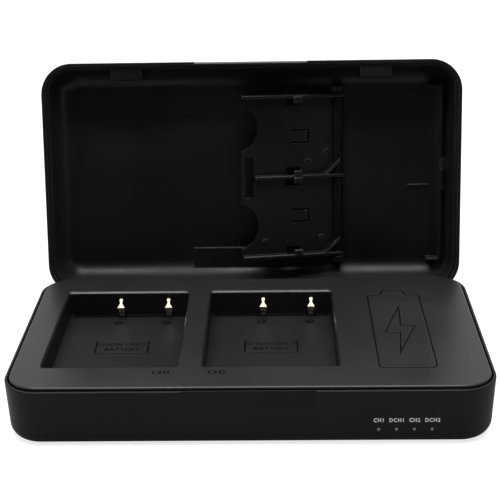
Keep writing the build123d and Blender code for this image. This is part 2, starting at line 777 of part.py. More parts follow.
for name, shape in pieces.items():
    export_step(shape, f"parts/{name}.step")
print(f"{len(pieces)} pieces, lid open {lid_open_angle} deg, page open {page_rest_angle:.2f} deg")
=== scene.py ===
# %% [markdown]
# A two-bay camera battery charger in a hinged pocket case, dressed for its portrait.
#
# The shapes come from a CAD model that is already packed: this script loads it as a fixed frame, in
# metres, and adds what a drawing office leaves out: the finish of each moulding, the lettering, the
# plated strips in the sockets, the floor, the lights and the camera.

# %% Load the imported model
import json
from math import cos, radians, sin, tan

import bmesh
import bpy
from mathutils import Matrix, Vector


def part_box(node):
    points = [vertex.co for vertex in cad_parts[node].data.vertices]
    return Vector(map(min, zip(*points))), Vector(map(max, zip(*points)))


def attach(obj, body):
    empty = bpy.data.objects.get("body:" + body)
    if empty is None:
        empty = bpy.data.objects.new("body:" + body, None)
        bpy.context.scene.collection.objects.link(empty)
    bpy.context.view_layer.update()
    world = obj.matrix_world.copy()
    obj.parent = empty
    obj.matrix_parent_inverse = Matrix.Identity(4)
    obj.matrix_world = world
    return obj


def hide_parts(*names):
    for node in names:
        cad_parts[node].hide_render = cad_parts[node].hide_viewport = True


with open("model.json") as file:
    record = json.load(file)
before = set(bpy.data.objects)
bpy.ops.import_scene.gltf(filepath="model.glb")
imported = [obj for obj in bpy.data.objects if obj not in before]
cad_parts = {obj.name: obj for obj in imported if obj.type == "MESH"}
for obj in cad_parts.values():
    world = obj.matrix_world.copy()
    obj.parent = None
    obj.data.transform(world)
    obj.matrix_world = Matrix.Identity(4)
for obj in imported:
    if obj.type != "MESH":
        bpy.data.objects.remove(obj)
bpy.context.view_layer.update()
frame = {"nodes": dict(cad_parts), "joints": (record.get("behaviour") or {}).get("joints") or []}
nodes = frame["nodes"]
MM = 0.001

# %% [markdown]
# The camera stands where the photographer stood. Its place, tilt and focal length were worked out
# from the corners of the case in the picture, so a piece at a CAD place lands on its own pixel.
# A focal length in pixels turns into millimetres through the sensor's width.

# %% Camera
PICTURE_PIXELS = 500
FOCAL_PIXELS = 1187.78
SENSOR_MM = 36.0
CAMERA_PLACE = (8.12, -309.04, 169.69)
CAMERA_PITCH = radians(22.515)
CAMERA_YAW = radians(-1.481)
CAMERA_ROLL = radians(-1.108)

ahead = Vector((sin(CAMERA_YAW) * cos(CAMERA_PITCH), cos(CAMERA_YAW) * cos(CAMERA_PITCH), -sin(CAMERA_PITCH)))
level_right = Vector((cos(CAMERA_YAW), -sin(CAMERA_YAW), 0))
level_up = level_right.cross(ahead)
right = cos(CAMERA_ROLL) * level_right + sin(CAMERA_ROLL) * level_up
up = cos(CAMERA_ROLL) * level_up - sin(CAMERA_ROLL) * level_right
turn = Matrix((right, up, -ahead)).transposed().to_4x4()

camera_data = bpy.data.cameras.new("photo_view")
camera_data.sensor_width = SENSOR_MM
camera_data.lens = FOCAL_PIXELS / PICTURE_PIXELS * SENSOR_MM
camera_data.clip_start = 0.01
camera = bpy.data.objects.new("photo_view", camera_data)
camera.matrix_world = Matrix.Translation(Vector(CAMERA_PLACE) * MM) @ turn
scene = bpy.context.scene
scene.collection.objects.link(camera)
scene.camera = camera
scene.view_settings.view_transform = "Standard"
print(f"camera: {camera_data.lens:.1f} mm lens")

# %% [markdown]
# Light for a black object is mostly what the object mirrors. A wide soft box hangs overhead. The key is
# a long, narrow strip higher up and further forward, so that every chamfer that leans towards the
# camera draws a thin bright line. A weak strip lower in front is there for the contacts, whose upper
# slopes mirror it. Two weak boxes stand at the sides and reach into the open lid. The room is bright
# behind the case and dim behind the camera, and the background is plain white for every ray that looks
# straight at it.

# %% World and lamps
ROOM_FRONT = 0.05
ROOM_BACK = 0.97


def room_light():
    """World: white to the eye, and a soft room, bright at the back, for what lights and mirrors."""
    world = bpy.data.worlds.new("studio")
    scene.world = world
    world.use_nodes = True
    tree = world.node_tree
    tree.nodes.clear()
    link = tree.links.new
    direction = tree.nodes.new("ShaderNodeTexCoord")
    split = tree.nodes.new("ShaderNodeSeparateXYZ")
    level = tree.nodes.new("ShaderNodeMapRange")
    level.inputs["From Min"].default_value = -0.5
    level.inputs["From Max"].default_value = 0.6
    level.inputs["To Min"].default_value = ROOM_FRONT
    level.inputs["To Max"].default_value = ROOM_BACK
    level.interpolation_type = "SMOOTHSTEP"
    room = tree.nodes.new("ShaderNodeBackground")
    white = tree.nodes.new("ShaderNodeBackground")
    ray = tree.nodes.new("ShaderNodeLightPath")
    seen = tree.nodes.new("ShaderNodeMath")
    seen.operation = "MAXIMUM"
    mix = tree.nodes.new("ShaderNodeMixShader")
    out = tree.nodes.new("ShaderNodeOutputWorld")
    white.inputs["Color"].default_value = (1, 1, 1, 1)
    link(direction.outputs["Generated"], split.inputs["Vector"])
    link(split.outputs["Y"], level.inputs["Value"])
    link(level.outputs["Result"], room.inputs["Strength"])
    link(ray.outputs["Is Camera Ray"], seen.inputs[0])
    link(ray.outputs["Is Transmission Ray"], seen.inputs[1])
    link(seen.outputs["Value"], mix.inputs["Fac"])
    link(room.outputs["Background"], mix.inputs[1])
    link(white.outputs["Background"], mix.inputs[2])
    link(mix.outputs["Shader"], out.inputs["Surface"])


def soft_box(name, place, aim, size, watts):
    """Rectangular lamp at a place, facing an aim, both in metres."""
    lamp = bpy.data.lights.new(name, "AREA")
    lamp.shape = "RECTANGLE"
    lamp.size, lamp.size_y = size
    lamp.energy = watts
    box = bpy.data.objects.new(name, lamp)
    facing = (Vector(aim) - Vector(place)).to_track_quat("-Z", "Y")
    box.matrix_world = Matrix.Translation(place) @ facing.to_matrix().to_4x4()
    scene.collection.objects.link(box)
    return box


room_light()
CASE_MIDDLE = (0, 0.02, 0.03)
soft_box("overhead", (0.0, 0.20, 0.75), CASE_MIDDLE, (0.7, 0.5), 5.0)
soft_box("key", (0.0, -0.33, 0.90), CASE_MIDDLE, (0.80, 0.13), 5.5)
soft_box("front", (0.0, -0.54, 0.71), CASE_MIDDLE, (0.60, 0.15), 0.5)
soft_box("left_side", (-0.70, -0.05, 0.25), CASE_MIDDLE, (0.5, 0.3), 0.7)
soft_box("right_side", (0.70, -0.05, 0.25), CASE_MIDDLE, (0.5, 0.3), 0.35)

# %% [markdown]
# The case stands on a pale floor. The floor is a real surface that takes the soft shadow, with a glow
# for the rays that come straight from the camera, so that it meets the white without a seam.

# %% Floor
FLOOR_HALF = 6.0
FLOOR_GAP = 0.00005
FLOOR_PALE = 0.38
FLOOR_GLOW = 0.76


def floor_paint():
    """Matt white that adds a glow for what looks straight at it."""
    paint = bpy.data.materials.new("floor_paint")
    paint.use_nodes = True
    tree = paint.node_tree
    tree.nodes.clear()
    link = tree.links.new
    matt = tree.nodes.new("ShaderNodeBsdfDiffuse")
    matt.inputs["Color"].default_value = (FLOOR_PALE, FLOOR_PALE, FLOOR_PALE, 1)
    glow = tree.nodes.new("ShaderNodeEmission")
    ray = tree.nodes.new("ShaderNodeLightPath")
    share = tree.nodes.new("ShaderNodeMath")
    share.operation = "MULTIPLY"
    share.inputs[1].default_value = FLOOR_GLOW
    both = tree.nodes.new("ShaderNodeAddShader")
    out = tree.nodes.new("ShaderNodeOutputMaterial")
    link(ray.outputs["Is Camera Ray"], share.inputs[0])
    link(share.outputs["Value"], glow.inputs["Strength"])
    link(matt.outputs["BSDF"], both.inputs[0])
    link(glow.outputs["Emission"], both.inputs[1])
    link(both.outputs["Shader"], out.inputs["Surface"])
    return paint


def piece_from(bm, name):
    """Turn a bmesh into an object at the origin."""
    mesh = bpy.data.meshes.new(name)
    bm.to_mesh(mesh)
    bm.free()
    piece = bpy.data.objects.new(name, mesh)
    scene.collection.objects.link(piece)
    return piece


bm = bmesh.new()
bmesh.ops.create_grid(bm, x_segments=1, y_segments=1, size=FLOOR_HALF)
bmesh.ops.translate(bm, verts=bm.verts, vec=(0, 0, -FLOOR_GAP))
floor = piece_from(bm, "floor")
floor.data.materials.append(floor_paint())
print("floor: half side", FLOOR_HALF, "m")

# %% [markdown]
# Nearly every piece is black moulded plastic, and black plastic is never one flat black. The mould is
# spark-eroded, which leaves a fine grain; flow and handling leave faint clouds of duller and glossier
# skin; and the edges, which no mould leaves knife-sharp, are a little smoother and painted paler: a
# little wear, and a painted highlight where the factor is large. A Bevel node rounds the shading of each
# edge by the radius that the mould has there, and where it turns the normal away from the face, the
# colour is painted paler in patches. On the lid, a deep tray, the walls that stand square to its floor
# are painted paler than the floor between them: painted light on the walls.
#
# One builder makes all the plastics, so that they can differ in grain and sheen as they really do. The
# deck has a satin skin and its bays a duller one painted darker as painted shade, the grooves cut into it
# are dead matt and painted near black as painted shade, and the page has one skin on its plate, one on
# its rails, whose edges carry a painted highlight, and one on its barrel.

# %% Moulded plastic
CLOUD_SCALE = 45.0
EDGE_PATCH_SCALE = 260.0
EDGE_ROUGHNESS = 0.20
WALL_BEGINS = 0.95
WALL_FULL = 0.30


def walls_painted_lit(tree, coordinates, tone, floor_normal, pale):
    """Paint a tone paler where the face stands square to the floor normal: painted light on walls."""
    link = tree.links.new
    along = tree.nodes.new("ShaderNodeVectorMath")
    along.operation = "DOT_PRODUCT"
    along.inputs[1].default_value = floor_normal
    facing = tree.nodes.new("ShaderNodeMath")
    facing.operation = "ABSOLUTE"
    wall = tree.nodes.new("ShaderNodeMapRange")
    wall.inputs["From Min"].default_value = WALL_BEGINS
    wall.inputs["From Max"].default_value = WALL_FULL
    walls = tree.nodes.new("ShaderNodeMix")
    walls.data_type = "RGBA"
    walls.inputs["B"].default_value = (pale, pale, pale, 1)
    link(coordinates.outputs["Normal"], along.inputs[0])
    link(along.outputs["Value"], facing.inputs[0])
    link(facing.outputs["Value"], wall.inputs["Value"])
    link(wall.outputs["Result"], walls.inputs["Factor"])
    link(tone, walls.inputs["A"])
    return walls.outputs["Result"]


def moulded_plastic(name, black, roughness, gloss, grain_mm, grain_depth, edge_mm=0.2, cloud=0.08, wear_and_highlight=1.6,
                    floor_normal=None, drawn=1.0):
    """Black plastic: grain as bump, clouds in the sheen, edges painted paler as wear and painted highlight,
    and, with a floor normal, walls painted paler as painted light.
    """
    finish = bpy.data.materials.new(name)
    finish.use_nodes = True
    tree = finish.node_tree
    skin = tree.nodes["Principled BSDF"]
    link = tree.links.new
    coordinates = tree.nodes.new("ShaderNodeTexCoord")
    place = coordinates.outputs["Object"]

    edge = tree.nodes.new("ShaderNodeBevel")
    edge.samples = 6
    edge.inputs["Radius"].default_value = edge_mm * MM
    grain = tree.nodes.new("ShaderNodeTexNoise")
    grain.inputs["Scale"].default_value = 1 / (grain_mm * MM)
    grain.inputs["Detail"].default_value = 3.0
    grain.inputs["Roughness"].default_value = 0.6
    bump = tree.nodes.new("ShaderNodeBump")
    bump.inputs["Strength"].default_value = grain_depth
    bump.inputs["Distance"].default_value = grain_mm * MM * 0.3
    link(place, grain.inputs["Vector"])
    link(grain.outputs["Fac"], bump.inputs["Height"])
    link(edge.outputs["Normal"], bump.inputs["Normal"])
    link(bump.outputs["Normal"], skin.inputs["Normal"])

    clouds = tree.nodes.new("ShaderNodeTexNoise")
    clouds.inputs["Scale"].default_value = CLOUD_SCALE
    clouds.inputs["Detail"].default_value = 4.0
    sheen = tree.nodes.new("ShaderNodeMapRange")
    sheen.inputs["From Min"].default_value = 0.3
    sheen.inputs["From Max"].default_value = 0.7
    sheen.inputs["To Min"].default_value = roughness - cloud
    sheen.inputs["To Max"].default_value = roughness + cloud
    link(place, clouds.inputs["Vector"])
    link(clouds.outputs["Fac"], sheen.inputs["Value"])

    shade = tree.nodes.new("ShaderNodeMix")
    shade.data_type = "RGBA"
    shade.inputs["A"].default_value = (black * 0.8, black * 0.8, black * 0.82, 1)
    shade.inputs["B"].default_value = (black * 1.25, black * 1.25, black * 1.22, 1)
    link(clouds.outputs["Fac"], shade.inputs["Factor"])

    tone = shade.outputs["Result"]
    # Faces square to the floor normal are painted paler: painted light on the walls.
    if floor_normal:
        tone = walls_painted_lit(tree, coordinates, tone, floor_normal, black * drawn)

    flat = tree.nodes.new("ShaderNodeNewGeometry")
    turned = tree.nodes.new("ShaderNodeVectorMath")
    turned.operation = "DOT_PRODUCT"
    ridge = tree.nodes.new("ShaderNodeMapRange")
    ridge.inputs["From Min"].default_value = 0.98
    ridge.inputs["From Max"].default_value = 0.80
    edge_patches = tree.nodes.new("ShaderNodeTexNoise")
    edge_patches.inputs["Scale"].default_value = EDGE_PATCH_SCALE
    patchy = tree.nodes.new("ShaderNodeMath")
    patchy.operation = "MULTIPLY"
    # Edges are painted paler in patches: a little wear, and, with a large factor, a painted highlight.
    worn_and_highlit = tree.nodes.new("ShaderNodeMix")
    worn_and_highlit.data_type = "RGBA"
    worn_and_highlit.inputs["B"].default_value = (black * (1 + wear_and_highlight), black * (1 + wear_and_highlight), black * (1 + wear_and_highlight), 1)
    link(edge.outputs["Normal"], turned.inputs[0])
    link(flat.outputs["Normal"], turned.inputs[1])
    link(turned.outputs["Value"], ridge.inputs["Value"])
    link(place, edge_patches.inputs["Vector"])
    link(ridge.outputs["Result"], patchy.inputs[0])
    link(edge_patches.outputs["Fac"], patchy.inputs[1])
    link(patchy.outputs["Value"], worn_and_highlit.inputs["Factor"])
    link(tone, worn_and_highlit.inputs["A"])
    link(worn_and_highlit.outputs["Result"], skin.inputs["Base Color"])

    polished = tree.nodes.new("ShaderNodeMix")
    polished.inputs["B"].default_value = EDGE_ROUGHNESS
    link(ridge.outputs["Result"], polished.inputs["Factor"])
    link(sheen.outputs["Result"], polished.inputs["A"])
    link(polished.outputs["Result"], skin.inputs["Roughness"])
    skin.inputs["Specular IOR Level"].default_value = gloss
    return finish


print("plastic builder ready")

# %% [markdown]
# The page's hinge runs along the lid's floor, square to the case's length, so the two directions
# together give the floor's normal; the lid's walls, square to it, are painted paler as painted light.

# %% The plastics
page_joint = next(joint for joint in frame["joints"] if joint["child"] == "page")
page_axis = Vector(page_joint["axis"])
LID_FLOOR_NORMAL = Vector((1, 0, 0)).cross(page_axis)
# Edge factors above the default 1.6 paint edge highlights: most on the rails, then the lid, page and case.
CASE_BLACK = moulded_plastic("case_black", 0.004, 0.45, 0.21, 0.18, 0.30, edge_mm=0.3, wear_and_highlight=6)
# The lid's walls are painted six times paler than its floor: painted light on the walls.
LID_BLACK = moulded_plastic("lid_black", 0.003, 0.38, 0.32, 0.18, 0.30, edge_mm=0.4, wear_and_highlight=14,
                            floor_normal=LID_FLOOR_NORMAL, drawn=6)
DECK_BLACK = moulded_plastic("deck_black", 0.012, 0.32, 0.46, 0.14, 0.30, cloud=0.04)
# The bays and the word plates are painted darker than the deck: painted shade in the recesses.
BAY_SHADE_BLACK = moulded_plastic("bay_shade_black", 0.006, 0.50, 0.23, 0.14, 0.30)
# Grooves, slits and cut words are painted near black: painted shade.
GROOVE_SHADE_BLACK = moulded_plastic("groove_shade_black", 0.002, 0.70, 0.06, 0.10, 0.30)
PAGE_BLACK = moulded_plastic("page_black", 0.004, 0.36, 0.32, 0.16, 0.18, wear_and_highlight=12)
# The rails' edges are painted very pale: a painted highlight.
RAIL_BLACK = moulded_plastic("rail_black", 0.004, 0.30, 0.36, 0.16, 0.18, edge_mm=0.35, wear_and_highlight=60)
BARREL_BLACK = moulded_plastic("barrel_black", 0.003, 0.50, 0.12, 0.16, 0.18)
CORE_BLACK = moulded_plastic("core_black", 0.010, 0.45, 0.30, 0.12, 0.15, edge_mm=0.08)
CHIP_BLACK = moulded_plastic("chip_black", 0.020, 0.60, 0.30, 0.10, 0.30, edge_mm=0.05)
FERRITE = moulded_plastic("ferrite_grey", 0.045, 0.65, 0.30, 0.20, 0.50, edge_mm=0.1)
print("plastics:", [m.name for m in bpy.data.materials if "black" in m.name or "grey" in m.name])

# %% [markdown]
# The metals differ in colour and in how they were worked: the contacts are gold-plated spring strip,
# the socket shells are bright tin, the screws are blackened steel and the pin is plain steel.

# %% Metals


def worked_metal(name, colour, roughness, scratch_mm, stretch, depth):
    """Metal with fine marks drawn out along one way."""
    finish = bpy.data.materials.new(name)
    finish.use_nodes = True
    tree = finish.node_tree
    skin = tree.nodes["Principled BSDF"]
    link = tree.links.new
    place = tree.nodes.new("ShaderNodeTexCoord").outputs["Object"]
    drawn = tree.nodes.new("ShaderNodeMapping")
    drawn.inputs["Scale"].default_value = stretch
    marks = tree.nodes.new("ShaderNodeTexNoise")
    marks.inputs["Scale"].default_value = 1 / (scratch_mm * MM)
    marks.inputs["Detail"].default_value = 4.0
    sheen = tree.nodes.new("ShaderNodeMapRange")
    sheen.inputs["From Min"].default_value = 0.3
    sheen.inputs["From Max"].default_value = 0.7
    sheen.inputs["To Min"].default_value = roughness * 0.7
    sheen.inputs["To Max"].default_value = roughness * 1.4
    tint = tree.nodes.new("ShaderNodeMix")
    tint.data_type = "RGBA"
    tint.inputs["A"].default_value = (*[c * 0.82 for c in colour], 1)
    tint.inputs["B"].default_value = (*colour, 1)
    bump = tree.nodes.new("ShaderNodeBump")
    bump.inputs["Strength"].default_value = depth
    bump.inputs["Distance"].default_value = scratch_mm * MM * 0.2
    link(place, drawn.inputs["Vector"])
    link(drawn.outputs["Vector"], marks.inputs["Vector"])
    link(marks.outputs["Fac"], sheen.inputs["Value"])
    link(sheen.outputs["Result"], skin.inputs["Roughness"])
    link(marks.outputs["Fac"], tint.inputs["Factor"])
    link(tint.outputs["Result"], skin.inputs["Base Color"])
    link(marks.outputs["Fac"], bump.inputs["Height"])
    link(bump.outputs["Normal"], skin.inputs["Normal"])
    skin.inputs["Metallic"].default_value = 1.0
    return finish


CONTACT_GOLD = worked_metal("contact_gold", (0.93, 0.82, 0.62), 0.13, 0.25, (3, 3, 0.4), 0.2)
SOCKET_TIN = worked_metal("socket_tin", (0.72, 0.71, 0.69), 0.32, 0.3, (0.3, 2, 2), 0.2)
CAN_METAL = worked_metal("can_metal", (0.75, 0.76, 0.77), 0.30, 0.4, (2, 2, 0.3), 0.15)
SCREW_STEEL = worked_metal("screw_steel", (0.10, 0.10, 0.105), 0.38, 0.2, (1, 1, 1), 0.3)
PIN_STEEL = worked_metal("pin_steel", (0.55, 0.55, 0.56), 0.30, 0.3, (0.2, 2, 2), 0.2)
METALS = (CONTACT_GOLD, SOCKET_TIN, CAN_METAL, SCREW_STEEL, PIN_STEEL)
print("metals:", [m.name for m in METALS])

# %% [markdown]
# What is left is the green board, the clear light guide with its frosted tips, the small lamps behind
# it, and the white ink of the printed legends.

# %% Board, clear pieces and ink


def lacquered_board():
    """Green solder mask over a weave that just shows."""
    finish = bpy.data.materials.new("board_green")
    finish.use_nodes = True
    tree = finish.node_tree
    skin = tree.nodes["Principled BSDF"]
    link = tree.links.new
    place = tree.nodes.new("ShaderNodeTexCoord").outputs["Object"]
    weave = tree.nodes.new("ShaderNodeTexBrick")
    weave.inputs["Scale"].default_value = 900.0
    weave.inputs["Mortar Size"].default_value = 0.03
    weave.inputs["Color1"].default_value = (0.010, 0.085, 0.040, 1)
    weave.inputs["Color2"].default_value = (0.012, 0.100, 0.048, 1)
    weave.inputs["Mortar"].default_value = (0.008, 0.070, 0.034, 1)
    bump = tree.nodes.new("ShaderNodeBump")
    bump.inputs["Strength"].default_value = 0.15
    bump.inputs["Distance"].default_value = 0.03 * MM
    link(place, weave.inputs["Vector"])
    link(weave.outputs["Color"], skin.inputs["Base Color"])
    link(weave.outputs["Fac"], bump.inputs["Height"])
    link(bump.outputs["Normal"], skin.inputs["Normal"])
    skin.inputs["Roughness"].default_value = 0.3
    return finish


def milky_plastic(name, colour, roughness, transmission, haze_mm=0.7):
    """Clear plastic or thin ink with a little haze, uneven from place to place."""
    finish = bpy.data.materials.new(name)
    finish.use_nodes = True
    tree = finish.node_tree
    skin = tree.nodes["Principled BSDF"]
    link = tree.links.new
    place = tree.nodes.new("ShaderNodeTexCoord").outputs["Object"]
    haze = tree.nodes.new("ShaderNodeTexNoise")
    haze.inputs["Scale"].default_value = 1 / (haze_mm * MM)
    tone = tree.nodes.new("ShaderNodeMix")
    tone.data_type = "RGBA"
    tone.inputs["A"].default_value = (*[c * 0.85 for c in colour], 1)
    tone.inputs["B"].default_value = (*colour, 1)
    link(place, haze.inputs["Vector"])
    link(haze.outputs["Fac"], tone.inputs["Factor"])
    link(tone.outputs["Result"], skin.inputs["Base Color"])
    skin.inputs["Roughness"].default_value = roughness
    skin.inputs["Transmission Weight"].default_value = transmission
    skin.inputs["IOR"].default_value = 1.49
    return finish


BOARD_GREEN = lacquered_board()
GUIDE_CLEAR = milky_plastic("guide_clear", (0.03, 0.03, 0.03), 0.35, 0.1)
TIP_FROST = milky_plastic("tip_frost", (0.32, 0.32, 0.31), 0.5, 0.0)
LAMP_WHITE = milky_plastic("lamp_white", (0.75, 0.74, 0.70), 0.4, 0.1)
PRINT_WHITE = milky_plastic("print_white", (0.93, 0.93, 0.91), 0.6, 0.0, haze_mm=0.15)
print("board, clear pieces and ink done")

# %% [markdown]
# Each CAD node takes the finish whose key its name begins with, so that the four contacts, the lamps and
# the parts on the board need one line each.

# %% Give every CAD node its finish
FINISHES = {
    "base_shell": CASE_BLACK,
    "top_deck": DECK_BLACK,
    "lid_shell": LID_BLACK,
    "card_page": PAGE_BLACK,
    "main_board": BOARD_GREEN,
    "light_guide": GUIDE_CLEAR,
    "indicator": LAMP_WHITE,
    "contact": CONTACT_GOLD,
    "output_socket_shell": SOCKET_TIN,
    "input_socket_shell": SOCKET_TIN,
    "output_socket_core": CORE_BLACK,
    "input_socket_core": CORE_BLACK,
    "power_inductor": FERRITE,
    "filter_capacitor": CAN_METAL,
    "control_chip": CHIP_BLACK,
    "case_screws": SCREW_STEEL,
    "board_screws": PIN_STEEL,
    "hinge_pin": PIN_STEEL,
}
for name, node in nodes.items():
    kind = next(key for key in FINISHES if name.startswith(key))
    node.data.materials.clear()
    node.data.materials.append(FINISHES[kind])
print("finished nodes:", len(nodes))

# %% [markdown]
# Each lamp on the front wall has a white word over it that says which bay it watches and whether
# that bay is charging or giving power. On the real case the words are pad-printed, a film of ink a
# few hundredths of a millimetre thick. A font curve becomes a mesh of that thickness, scaled until a
# capital has its measured height, and is then laid on the wall, which leans in towards the foot.

# %% Printed legends on the front wall
LEGENDS = ("CH1", "DCH1", "CH2", "DCH2")
LEGEND_HEIGHT = 1.22 * MM
LEGEND_MIDDLE = 7.85 * MM
LEGEND_WEIGHT = 0.020
LEGEND_SPACING = 1.20
LEGEND_NARROW = 0.82
INK_FILM = 0.03 * MM
WALL_DRAFT = radians(2.2)
DECK_RISE = 0.7 * MM


def words_mesh(text, height, depth, weight=0.0, spacing=1.0):
    """Bmesh of a line of capitals, centred, in the XY plane, standing up by its depth from Z = 0."""
    font = bpy.data.curves.new("words", "FONT")
    font.body = text
    font.extrude = 0.5
    font.offset = weight
    font.space_character = spacing
    font.align_x = "CENTER"
    font.resolution_u = 3
    holder = bpy.data.objects.new("words", font)
    scene.collection.objects.link(holder)
    mesh = bpy.data.meshes.new_from_object(holder.evaluated_get(bpy.context.evaluated_depsgraph_get()))
    bpy.data.objects.remove(holder)
    bpy.data.curves.remove(font)
    bm = bmesh.new()
    bm.from_mesh(mesh)
    bpy.data.meshes.remove(mesh)
    bmesh.ops.remove_doubles(bm, verts=bm.verts, dist=1e-5)
    low = min(v.co.y for v in bm.verts)
    high = max(v.co.y for v in bm.verts)
    size = height / (high - low)
    bmesh.ops.translate(bm, verts=bm.verts, vec=(0, -(low + high) / 2, 0.5))
    bmesh.ops.scale(bm, verts=bm.verts, vec=(size, size, depth))
    bmesh.ops.recalc_face_normals(bm, faces=bm.faces)
    return bm


def joined(shapes):
    """One bmesh from several, each given with the matrix that puts it in its place."""
    whole = bmesh.new()
    for shape, matrix in shapes:
        bmesh.ops.transform(shape, matrix=matrix, verts=shape.verts)
        part = bpy.data.meshes.new("part")
        shape.to_mesh(part)
        shape.free()
        whole.from_mesh(part)
        bpy.data.meshes.remove(part)
    return whole


def dress(piece, body, finish):
    """Let a new piece ride on a body and its finish."""
    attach(piece, body)
    piece.data.materials.clear()
    piece.data.materials.append(finish)
    return piece


def front_wall(x, z):
    """Matrix that lays an upright XY drawing on the leaning front wall, at a place of that wall."""
    rim_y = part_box("base_shell")[0][1]
    rim_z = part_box("top_deck")[1][2] - DECK_RISE
    lean_in = (rim_z - z) * tan(WALL_DRAFT)
    place = Matrix.Translation((x, rim_y + lean_in, z))
    return place @ Matrix.Rotation(radians(90) + WALL_DRAFT, 4, "X")


def middle_x(node):
    """Middle of a CAD node along the case."""
    low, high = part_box(node)
    return (low[0] + high[0]) / 2


lamp_xs = [middle_x(f"indicator_{lamp}") for lamp in (1, 2, 3, 4)]
legends = piece_from(joined([
    (words_mesh(text, LEGEND_HEIGHT, INK_FILM, LEGEND_WEIGHT, LEGEND_SPACING),
     front_wall(x, LEGEND_MIDDLE) @ Matrix.Diagonal((LEGEND_NARROW, 1, 1, 1)))
    for text, x in zip(LEGENDS, lamp_xs)]), "front_legends")
dress(legends, "base", PRINT_WHITE)
print("legends over the lamps at", [round(x / MM, 1) for x in lamp_xs], "mm")

# %% [markdown]
# The deck carries marks that are cut into it: a channel word in front of each bay, a ring with the
# pole's sign before each contact, and a line drawing of a charging cell on the blank panel. In the
# mould they are ridges. Here they are solids of the lines' width, taken out of a merged copy of the
# deck with a Boolean modifier, so that the grooves are real; their faces are painted near black as
# painted shade.

# %% Line drawings to cut
GROOVE_DEPTH = 0.22 * MM
GROOVE_OVER = 0.10 * MM
LINE_WIDTH = 0.45 * MM
CELL_HALF = 8.0 * MM
CELL_FOOT = -25.5 * MM
CELL_SHOULDER = 21.4 * MM
CELL_POLE_HALF = 3.6 * MM
CELL_HEAD = 25.0 * MM
CELL_CORNER = 1.6 * MM


def groove_solid(points, corner=0.0, line=None):
    """Bmesh of a flat solid as deep as a groove: a filled outline, or only the line along its edge."""
    bm = bmesh.new()
    bm.faces.new([bm.verts.new((x, y, 0)) for x, y in points])
    if corner:
        bmesh.ops.bevel(bm, geom=bm.verts[:], offset=corner, offset_type="OFFSET", segments=5,
                        profile=0.5, affect="VERTICES", material=-1, clamp_overlap=True)
    if line:
        bm.normal_update()
        middle = bm.faces[:]
        bmesh.ops.inset_region(bm, faces=middle, thickness=line, use_boundary=True, use_even_offset=True)
        bmesh.ops.delete(bm, geom=middle, context="FACES_ONLY")
    raised = bmesh.ops.extrude_face_region(bm, geom=bm.faces[:])
    tops = [v for v in raised["geom"] if isinstance(v, bmesh.types.BMVert)]
    bmesh.ops.translate(bm, verts=tops, vec=(0, 0, GROOVE_DEPTH + GROOVE_OVER))
    bmesh.ops.recalc_face_normals(bm, faces=bm.faces)
    return bm


cell = [(-CELL_HALF, CELL_FOOT), (CELL_HALF, CELL_FOOT), (CELL_HALF, CELL_SHOULDER),
        (CELL_POLE_HALF, CELL_SHOULDER), (CELL_POLE_HALF, CELL_HEAD), (-CELL_POLE_HALF, CELL_HEAD),
        (-CELL_POLE_HALF, CELL_SHOULDER), (-CELL_HALF, CELL_SHOULDER)]
BOLT_MM = ((1.2, 14.5), (-4.8, -4.2), (-0.4, -4.2), (-1.8, -18.5), (4.8, 0.6), (0.6, 0.6))
bolt = [(x * MM, y * MM) for x, y in BOLT_MM]
print("cell drawing:", round((CELL_HEAD - CELL_FOOT) / MM, 1), "mm long")

# %% [markdown]
# Each mark is put in its place on the deck or on a bay's floor. The ring and the two signs have one
# outline each, which is repeated in front of the four contacts.

# %% Marks of the deck
BAY_DEPTH = 7.6 * MM
deck_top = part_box("top_deck")[1][2]
bay_floor = deck_top - BAY_DEPTH
BAY_FRONT = -23.95 * MM
WORD_HEIGHT = 2.0 * MM
WORD_WEIGHT = 0.025
WORD_GAP = 3.3 * MM
WORD_XS = {"CH1": -23.7 * MM, "CH2": -8.7 * MM}
CELL_PLACE = (42.86 * MM, -0.1 * MM)
RING_RADIUS = 1.35 * MM
RING_Y = 18.87 * MM
RING_SHIFT = -0.6 * MM
SIGN_LENGTH = 1.3 * MM
SIGN_WIDTH = 0.52 * MM


def sunk(x, y, top):
    """Matrix that sinks a flat solid into a face at a given height."""
    return Matrix.Translation((x, y, top - GROOVE_DEPTH))


def ring_points(radius):
    """Points of a circle, read from the operator that makes one."""
    bm = bmesh.new()
    bmesh.ops.create_circle(bm, segments=32, radius=radius)
    points = [(v.co.x, v.co.y) for v in bm.verts]
    bm.free()
    return points


def sign_points(sign):
    """Outline of a minus or a plus."""
    arm, half = SIGN_LENGTH / 2, SIGN_WIDTH / 2
    if sign == "-":
        return [(-arm, -half), (arm, -half), (arm, half), (-arm, half)]
    quarter = [(arm, -half), (arm, half), (half, half)]
    turns = ((1, 0), (0, 1), (-1, 0), (0, -1))
    return [(c * x - s * y, s * x + c * y) for c, s in turns for x, y in quarter]


def pole_mark(contact, sign):
    """Ring and sign in front of a contact."""
    put = sunk(middle_x(contact) + RING_SHIFT, RING_Y, bay_floor)
    ring = groove_solid(ring_points(RING_RADIUS), line=SIGN_WIDTH)
    return [(ring, put), (groove_solid(sign_points(sign)), put)]


marks = [(groove_solid(cell, CELL_CORNER, LINE_WIDTH), sunk(*CELL_PLACE, deck_top)),
         (groove_solid(bolt, line=LINE_WIDTH), sunk(*CELL_PLACE, deck_top))]
for text, x in WORD_XS.items():
    shape = words_mesh(text, WORD_HEIGHT, GROOVE_DEPTH + GROOVE_OVER, WORD_WEIGHT)
    marks.append((shape, sunk(x, BAY_FRONT - WORD_GAP, deck_top)))
for bay in (1, 2):
    marks += pole_mark(f"contact_bay{bay}_left", "-")
    marks += pole_mark(f"contact_bay{bay}_right", "+")
cutter = piece_from(joined(marks), "deck_marks")
